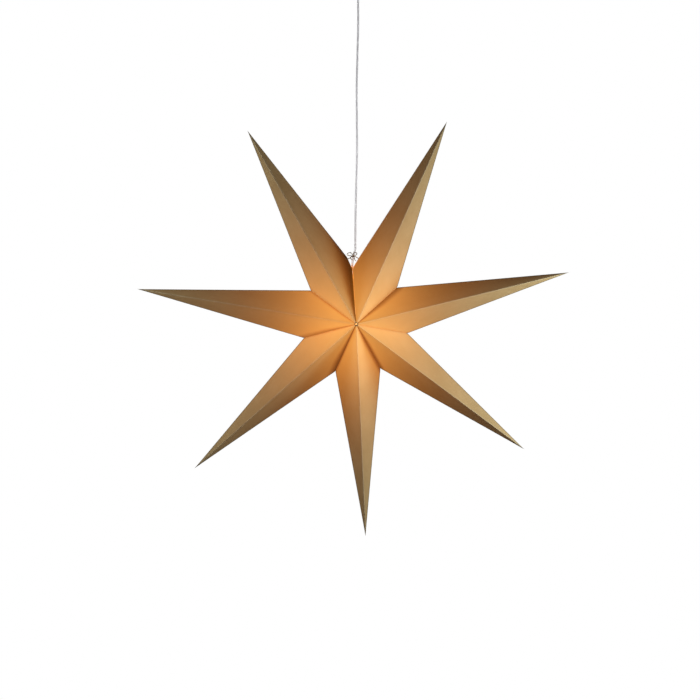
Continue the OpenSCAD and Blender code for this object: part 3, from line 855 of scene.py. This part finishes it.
    def card_line(self, index: int, corners: Sequence[Corner], column: Column, apex: np.ndarray,
                  side: Side, edge: Sequence[np.ndarray]
                  ) -> tuple[list[np.ndarray], list[np.ndarray], list[float]]:
        """Follows the card along one column, from the strip inside round the valley to the tip.

        Args:
            index: The point's number, from 0.
            corners: The outline at its base.
            column: The column.
            apex: Its tip.
            side: Which half of the point the column lies on.
            edge: That half's edge at the base.

        Returns:
            The places, the same on flat card, and how far each lies from the valley.
        """
        following = corners[(column.corner + 1) % len(corners)]
        bow = self.bows[index][side is Side.LEFT]
        if np.linalg.norm(following.place - corners[column.corner].place) < self.seam_knee_radius:
            bow = 0.0
        base, flat_base = self.place_on(corners, column, apex, 0.0, 0.0)
        depth = self.panel_depth(corners, column, apex)
        rounding = self.valley_rounding(index, side, flat_base)
        inner = self.strip_end(edge, flat_base)
        start_share = rounding / depth
        past, flat_past = self.place_on(corners, column, apex, start_share, bow)
        strip = float(np.linalg.norm(inner - flat_base))
        turn_in = flat_base + (inner - flat_base) * min(self.longest_turn, rounding / strip)
        places = [inner, (inner + turn_in) / 2]
        flats = list(places)
        depths = [-strip, -(strip + rounding) / 2]
        for u in np.linspace(0, 1, self.fold_steps + 1)[:-1]:
            places.append((1 - u) ** 2 * turn_in + 2 * u * (1 - u) * base + u ** 2 * past)
            flats.append(flat_base + (flat_past - flat_base) * max(0.0, 2 * u - 1))
            depths.append((2 * u - 1) * rounding)
        for share in np.linspace(start_share, self.tip_share, self.panel_rows):
            place, flat = self.place_on(corners, column, apex, share, bow)
            places.append(place)
            flats.append(flat)
            depths.append(share * depth)
        return places, flats, depths

    def panel_depth(self, corners: Sequence[Corner], column: Column, apex: np.ndarray) -> float:
        """Gives how far the tip is from the base edge of the panel that a column lies on."""
        count = len(corners)
        here = corners[column.corner].place
        sides = [1] if column.turn is None else [-1, 1]
        return float(np.mean([off_line(apex, here, corners[(column.corner + k) % count].place)
                              for k in sides]))

    def shell(self, sheet: Sheet, material: bpy.types.Material) -> bpy.types.Object:
        """Gives the card its thickness and makes the piece.

        Args:
            sheet: The card's outer face and its marks.
            material: The card.

        Returns:
            The piece.
        """
        outer = sheet.outer
        rows, count = outer.shape[:2]
        axis = outer.mean(axis=1, keepdims=True)
        round_way = np.roll(outer, -1, axis=1) - np.roll(outer, 1, axis=1)
        tip_way = np.gradient(outer, axis=0)
        outwards = np.cross(round_way, tip_way)
        outwards /= np.maximum(np.linalg.norm(outwards, axis=2, keepdims=True), 1e-9)
        if np.sum(outwards[rows // 2] * (outer[rows // 2] - axis[rows // 2])) < 0:
            outwards = -outwards
        reach = np.linalg.norm(outer - axis, axis=2, keepdims=True)
        inner = outer - outwards * np.minimum(self.paper_thickness, 0.5 * reach)
        points = np.vstack([outer.reshape(-1, 3), inner.reshape(-1, 3)])
        points = self.open_pinhole(points, self.point_directions[sheet.index])
        points = np.vstack([points, sheet.apex * self.tip_share + axis[-1] * (1 - self.tip_share),
                            0.5 * (axis[-1] + axis[-2])])

        def outer_at(row: int, column: int) -> int:
            return row * count + column % count

        def inner_at(row: int, column: int) -> int:
            return (rows + row) * count + column % count

        outer_tip, inner_tip = 2 * rows * count, 2 * rows * count + 1
        faces = []
        for column in range(count):
            for row in range(rows - 1):
                faces.append([outer_at(row, column), outer_at(row, column + 1),
                              outer_at(row + 1, column + 1), outer_at(row + 1, column)])
                faces.append([inner_at(row, column), inner_at(row + 1, column),
                              inner_at(row + 1, column + 1), inner_at(row, column + 1)])
            faces.append([outer_at(0, column + 1), outer_at(0, column), inner_at(0, column),
                          inner_at(0, column + 1)])
            faces.append([outer_at(rows - 1, column), outer_at(rows - 1, column + 1), outer_tip])
            faces.append([inner_at(rows - 1, column + 1), inner_at(rows - 1, column), inner_tip])
        piece = new_piece(f"folded_point_{sheet.index + 1}",
                          (points - np.array([0, 0, self.hub_drop])) * MM, faces, material)
        self.mark(piece, sheet)
        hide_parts(f"paper_point_{sheet.index + 1}")
        return piece

    def open_pinhole(self, points: np.ndarray, direction: float) -> np.ndarray:
        """Moves places beside the star's axis out to the edge of the pinhole.

        Args:
            points: Places from the star's centre.
            direction: The point's own direction.

        Returns:
            The places.
        """
        opened = points.copy()
        radii = np.hypot(points[:, 0], points[:, 2])
        near = (radii < self.pinhole_radius) & (radii > self.hub_corner)
        opened[near, 0] *= self.pinhole_radius / radii[near]
        opened[near, 2] *= self.pinhole_radius / radii[near]
        centre = radii <= self.hub_corner
        opened[centre] = points[centre] * np.array([0, 1, 0]) + polar(self.pinhole_radius, direction)
        return opened

    def mark(self, piece: bpy.types.Object, sheet: Sheet) -> None:
        """Stores what the card's material needs: its lay, its distances from folds and its shine.

        Args:
            piece: The point's piece.
            sheet: The card's outer face and its marks.
        """
        places, corners, apex = sheet.flat.reshape(-1, 3), sheet.corners, sheet.apex
        front = off_line(places, corners[0].place, apex)
        back = off_line(places, corners[sheet.back_hub].place, apex)
        way = (apex - corners[0].place) / np.linalg.norm(apex - corners[0].place)
        across = np.minimum(front, back)
        side = np.sign(np.cross(apex, places)[:, 1] + 1e-9)
        along = np.where(places[:, 1] < 0, places @ way, (places * np.array([1, -1, 1])) @ way)
        lay = np.stack([sheet.index + across * side * MM, along * MM], axis=1)
        lay = np.vstack([lay, lay, lay[-1:], lay[-1:]]).astype(np.float32)
        mesh = piece.data
        corner_vertices = np.zeros(len(mesh.loops), np.int32)
        mesh.loops.foreach_get("vertex_index", corner_vertices)
        mesh.uv_layers.new(name="card_lay").data.foreach_set("uv", lay[corner_vertices].ravel())
        edge = np.min([off_line(places, corner.place, apex) for corner in corners
                       if corner.place[1] == 0], axis=0)
        # The strips inside the seam catch the lamp's light near the top of the slit
        radii = np.hypot(places[:, 0], places[:, 2])
        lit = np.array([smooth_step(*self.lit_strip, radius) for radius in radii])
        deep = np.where(sheet.valley.ravel() < -0.5 * self.valley_round, lit, 0.0)
        marks = {"ridge_mm": (across, across), "edge_mm": (edge, edge),
                 "inside": (deep, np.ones_like(deep))}
        for name, values in (("valley_mm", sheet.valley), ("fade_mm", sheet.fade),
                             ("dimmest", sheet.dimmest), ("shine", sheet.shine)):
            marks[name] = (values.ravel(), values.ravel())
        for name, (outside, inside) in marks.items():
            values = np.concatenate([outside, inside, [0.0, 0.0]]).astype(np.float32)
            mesh.attributes.new(name, "FLOAT", "POINT").data.foreach_set("value", values)

    def build(self) -> None:
        """Builds all the points."""
        material = self.finish.build()
        for index in range(len(self.point_directions)):
            piece = self.build_point(index, material)
            log.info("%s: %d faces", piece.name, len(piece.data.polygons))


@dataclass
class LampCord:
    """The taut lamp cord, from the ceiling fitting down through the open seam to the holder."""

    diameter: float = 4.4
    length: float = 687.0
    sides: int = 20
    steps: int = 8
    # The route's points, in metres, as in the part's own source
    route: Sequence[tuple[float, float, float]] = (
        (0, 0, -0.028), (0, 0, -0.060), (0.001, 0, -0.130), (0, 0, -0.200), (-0.001, 0, -0.270),
        (0, 0, -0.340), (0.001, 0, -0.410), (0, 0, -0.480), (-0.001, 0, -0.550), (-0.001, 0, -0.620),
        (-0.001, 0, -0.635), (-0.005, 0, -0.650), (-0.007, 0, -0.665), (-0.007, 0, -0.678),
        (-0.001, 0, -0.692), (0, 0, -0.700), (0, 0, -0.715))

    def build(self) -> None:
        path = smooth_route(self.route, self.steps)[::-1]
        points, faces = tube(path, self.diameter / 2 * MM, self.sides)
        piece = new_piece("lamp_cord", points, faces, SHEATH.build())
        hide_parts("cord")
        log.info("%s: %d faces", piece.name, len(faces))


@dataclass
class TieString:
    """The string that ties the seam's two corners to the cord, with a small bow in front."""

    star: PaperStar
    diameter: float = 2.2
    knot_size: float = 4.6
    plies: int = 3
    ply_turn: float = 4.5
    sides: int = 18
    step: float = 0.35
    cord_diameter: float = 4.4
    cord_x: float = -5.2
    height: float = 149.0

    def hole(self, edge: Sequence[np.ndarray], way: int) -> tuple[np.ndarray, np.ndarray]:
        """Gives a punched hole's middle and the direction through it."""
        down = edge[1] * np.array([1, 0, 1]) - edge[2]
        down /= np.linalg.norm(down)
        return edge[2] + self.star.string_hole_inset * down, way * np.array([-down[2], 0, down[0]])

    def knot(self, middle: np.ndarray) -> np.ndarray:
        """Gives the path of a pulled-tight overhand knot round a place."""
        turns = np.linspace(0, 2 * math.pi, 60, endpoint=False)
        size = (self.knot_size - self.diameter) / 6
        return middle + size * np.stack([np.sin(turns) + 2 * np.sin(2 * turns), -np.sin(3 * turns),
                                         np.cos(turns) - 2 * np.cos(2 * turns)], axis=1)

    def routes(self) -> list[np.ndarray]:
        """Gives the middle lines of the string's stretches, from the star's centre."""
        reach = (self.cord_diameter + self.diameter) / 2 + 0.1
        knot = np.array([self.cord_x, -(self.cord_diameter + 4) / 2 - 0.1, self.height])
        ends = []
        for edge, way, guide in ((self.star.edge(0, Side.RIGHT), 1, [-10, -4, 147]),
                                 (self.star.edge(1, Side.LEFT), -1, [-1, -4, 147.5])):
            hole, outwards = self.hole(edge, way)
            behind = hole - (self.star.paper_thickness + 2) * outwards
            ends.append(behind)
            ends.append([behind, hole, hole + 3 * outwards, guide, knot])
        left_end, from_left, right_end, from_right = ends
        loops = [
            [knot, [-9.5, -6, 155], [-13, -6.5, 157], [-18, -6.5, 155], [-19, -6.5, 151.5],
             [-14, -6, 150], knot],
            [knot, [-5, -6, 155], [-2, -6.5, 158], [2, -6.5, 156], [1.5, -6, 152.5], knot],
            [knot, [-10, -6.5, 146], [-11.5, -7.5, 143.5], [-9, -8, 141], [-6, -8, 140]],
            [knot, [-3, -6.5, 144], [-1.5, -7.5, 141], [0, -8, 138.5]]]
        turns = np.linspace(0, 2 * math.pi, 40)
        wrap = np.stack([self.cord_x + reach * np.sin(turns), -reach * np.cos(turns),
                         self.height + 0.4 * np.sin(turns)], axis=1)
        smooth = [self.evenly(smooth_route(route, 12)) for route in [from_left, from_right] + loops]
        return smooth + [self.evenly(wrap)] + [self.knot(place) for place in (knot, left_end, right_end)]

    def evenly(self, path: np.ndarray) -> np.ndarray:
        """Gives the same path with points an even step apart."""
        travelled = np.concatenate([[0], np.cumsum(np.linalg.norm(np.diff(path, axis=0), axis=1))])
        places = np.linspace(0, travelled[-1], max(6, int(travelled[-1] / self.step)))
        return np.stack([np.interp(places, travelled, path[:, k]) for k in range(3)], axis=1)

    def build(self) -> None:
        """Builds the string with its bow and knots as one piece."""
        points, faces = [], []
        for route in self.routes():
            own_points, own_faces = tube(route, self.diameter / 2, self.sides, self.plies, self.ply_turn)
            start = sum(len(p) for p in points)
            points.append(own_points)
            faces += [[start + k for k in face] for face in own_faces]
        piece = new_piece("string_bow", (np.vstack(points) - np.array([0, 0, self.star.hub_drop])) * MM,
                          faces, STRING.build())
        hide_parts("tie_string")
        log.info("%s: %d faces", piece.name, len(faces))


@dataclass
class Fittings:
    """The lamp and the ceiling fitting, whose solids keep their shape and get their finishes."""

    finishes: dict[str, Finish] = field(default_factory=lambda: {
        "holder_cap": HOLDER, "holder_body": HOLDER, "cord_screw": NYLON, "screw_shell": BRASS,
        "centre_contact": BRASS, "live_terminal": BRASS, "neutral_terminal": BRASS,
        "terminal_screws": ZINC, "lamp_core_live": BROWN_CORE, "lamp_core_neutral": BLUE_CORE,
        "bulb": OPAL, "ceiling_cup": CUP, "cord_grip": NYLON, "grip_nut": NYLON, "grip_screw": NYLON,
        "mounting_strap": ZINC, "side_screws": ZINC, "connector_block": NYLON,
        "connector_sleeves": BRASS, "connector_screws": ZINC, "supply_core_live": BROWN_CORE,
        "supply_core_neutral": BLUE_CORE})

    def dress(self) -> None:
        """Gives every carried-over solid its material."""
        made: dict[str, bpy.types.Material] = {}
        for node, finish in self.finishes.items():
            if finish.name not in made:
                made[finish.name] = finish.build()
            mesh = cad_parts[node].data
            mesh.materials.clear()
            mesh.materials.append(made[finish.name])
            log.info("%s: %s", node, finish.name)


@dataclass(frozen=True)
class Softbox:
    """A square soft lamp aimed at the star's centre.

    Attributes:
        name: What it is called.
        direction: Where it stands, seen from the front, in degrees anticlockwise from the right.
        forward: How far it stands in front of the star's plane, in degrees.
        size: Side of the lamp in metres.
        power: Light in watts.
        distance: How far from the star's centre it stands, in metres.
    """

    name: str
    direction: float
    forward: float
    size: float
    power: float
    distance: float = 1.2


@dataclass
class Studio:
    """Camera, lamps, pale floor and white surroundings."""

    star_drop: float = 0.8
    camera_distance: float = 3.2
    camera_elevation: float = 4.649
    camera_azimuth: float = -1.327
    camera_roll: float = -0.5
    # Where the camera looks, across and below the star's centre
    aim_across: float = -0.011
    aim_below: float = 0.06625
    focal_share: float = 0.4353
    floor_drop: float = 2.3
    floor_radius: float = 1.2
    floor_colour: str = "#f4f4f2"
    # How brightly the floor shows to the eye, where a strength of 1 is white
    floor_glow: float = 0.75
    surroundings: float = 0.01
    level_in_gloss: float = 0.12
    softboxes: Sequence[Softbox] = (
        Softbox("right_softbox", 0, 15, 0.5, 6.7),
        Softbox("left_softbox", 175, 15, 0.5, 3.4),
        Softbox("near_right_softbox", -5, 22, 0.4, 1.9, 0.85),
        Softbox("near_left_softbox", 165, 12, 0.4, 0.7, 0.85),
        Softbox("right_back_softbox", 0, -65, 0.8, 5.0),
        Softbox("left_back_softbox", 180, -65, 0.8, 3.0))

    def place_camera(self) -> None:
        """Makes the camera where the photograph was taken from."""
        azimuth, elevation, roll = (math.radians(a) for a in (
            self.camera_azimuth, self.camera_elevation, self.camera_roll))
        back = Vector((math.sin(azimuth) * math.cos(elevation), -math.cos(azimuth) * math.cos(elevation),
                       math.sin(elevation)))
        right = Vector((math.cos(azimuth), math.sin(azimuth), 0))
        up = back.cross(right)
        rolled_right = right * math.cos(roll) - up * math.sin(roll)
        rolled_up = right * math.sin(roll) + up * math.cos(roll)
        target = Vector((self.aim_across, 0, -self.star_drop - self.aim_below))
        data = bpy.data.cameras.new("front_camera")
        data.sensor_width = SENSOR_WIDTH
        focal_pixels = self.focal_share * self.camera_distance * 1000
        data.lens = SENSOR_WIDTH * focal_pixels / IMAGE_PIXELS
        camera = bpy.data.objects.new("front_camera", data)
        turned = Matrix((rolled_right, rolled_up, back)).transposed().to_4x4()
        camera.matrix_world = Matrix.Translation(target + back * self.camera_distance) @ turned
        bpy.context.scene.collection.objects.link(camera)
        bpy.context.scene.camera = camera

    def hang_softbox(self, softbox: Softbox) -> None:
        """Makes one soft lamp."""
        direction, forward = math.radians(softbox.direction), math.radians(softbox.forward)
        way = Vector((math.cos(direction) * math.cos(forward), -math.sin(forward),
                      math.sin(direction) * math.cos(forward)))
        data = bpy.data.lights.new(softbox.name, "AREA")
        data.size = softbox.size
        data.energy = softbox.power
        lamp = bpy.data.objects.new(softbox.name, data)
        turned = way.to_track_quat("Z", "Y").to_matrix().to_4x4()
        lamp.matrix_world = Matrix.Translation(Vector((0, 0, -self.star_drop))
                                               + way * softbox.distance) @ turned
        bpy.context.scene.collection.objects.link(lamp)

    def seen_directly(self, tree: bpy.types.NodeTree) -> bpy.types.NodeSocket:
        """Gives 1 for rays that show the surroundings to the eye or in glass, and less in gloss.

        Args:
            tree: The node tree to add to.

        Returns:
            The output with that value.
        """
        path = add_node(tree, "ShaderNodeLightPath")
        in_gloss = add_node(tree, "ShaderNodeMath", {"operation": "MULTIPLY", 1: self.level_in_gloss},
                            {0: path.outputs["Is Glossy Ray"]})
        either = add_node(tree, "ShaderNodeMath", {"operation": "MAXIMUM"}, {
            0: path.outputs["Is Camera Ray"], 1: in_gloss.outputs["Value"]})
        return add_node(tree, "ShaderNodeMath", {"operation": "MAXIMUM"}, {
            0: either.outputs["Value"], 1: path.outputs["Is Transmission Ray"]}).outputs["Value"]

    def whiten_surroundings(self) -> None:
        """Makes the world white to the eye and dim as a light."""
        world = bpy.data.worlds.new("white_studio")
        world.use_nodes = True
        bpy.context.scene.world = world
        tree = world.node_tree
        tree.nodes.clear()
        level = add_node(tree, "ShaderNodeMapRange", {"To Min": self.surroundings, "To Max": 1.0},
                         {"Value": self.seen_directly(tree)})
        light = add_node(tree, "ShaderNodeBackground", {"Color": srgb("#ffffff")},
                         {"Strength": level.outputs["Result"]})
        add_node(tree, "ShaderNodeOutputWorld", links={"Surface": light.outputs["Background"]})

    def lay_floor(self) -> None:
        """Lays a round pale floor below the star, which keeps its shadow."""
        rim = [(self.floor_radius * math.cos(a), self.floor_radius * math.sin(a), -self.floor_drop)
               for a in np.linspace(0, 2 * math.pi, 96, endpoint=False)]
        mesh = bpy.data.meshes.new("pale_floor")
        mesh.from_pydata(rim, [], [list(range(len(rim)))])
        floor = bpy.data.objects.new("pale_floor", mesh)
        bpy.context.scene.collection.objects.link(floor)
        material = bpy.data.materials.new("white_painted_floor")
        material.use_nodes = True
        tree = material.node_tree
        tree.nodes.clear()
        glow = add_node(tree, "ShaderNodeMapRange", {"To Max": self.floor_glow},
                        {"Value": self.seen_directly(tree)})
        shader = add_node(tree, "ShaderNodeBsdfPrincipled", {
            "Base Color": srgb(self.floor_colour), "Roughness": 0.9, "Emission Color": srgb("#ffffff")},
            {"Emission Strength": glow.outputs["Result"]})
        add_node(tree, "ShaderNodeOutputMaterial", links={"Surface": shader.outputs["BSDF"]})
        mesh.materials.append(material)

    def light(self) -> None:
        """Makes the surroundings, the floor and the lamps, and sets how the picture is shown."""
        self.whiten_surroundings()
        self.lay_floor()
        for softbox in self.softboxes:
            self.hang_softbox(softbox)
        bpy.context.scene.view_settings.view_transform = "Standard"


def main() -> None:
    """Builds the scene in order: camera, cord, star, string, fittings, light."""
    logging.basicConfig(level=logging.INFO, format="%(name)s: %(message)s")
    studio = Studio()
    studio.place_camera()
    LampCord().build()
    star = PaperStar()
    star.build()
    TieString(star).build()
    Fittings().dress()
    studio.light()


if __name__ == "__main__":
    main()
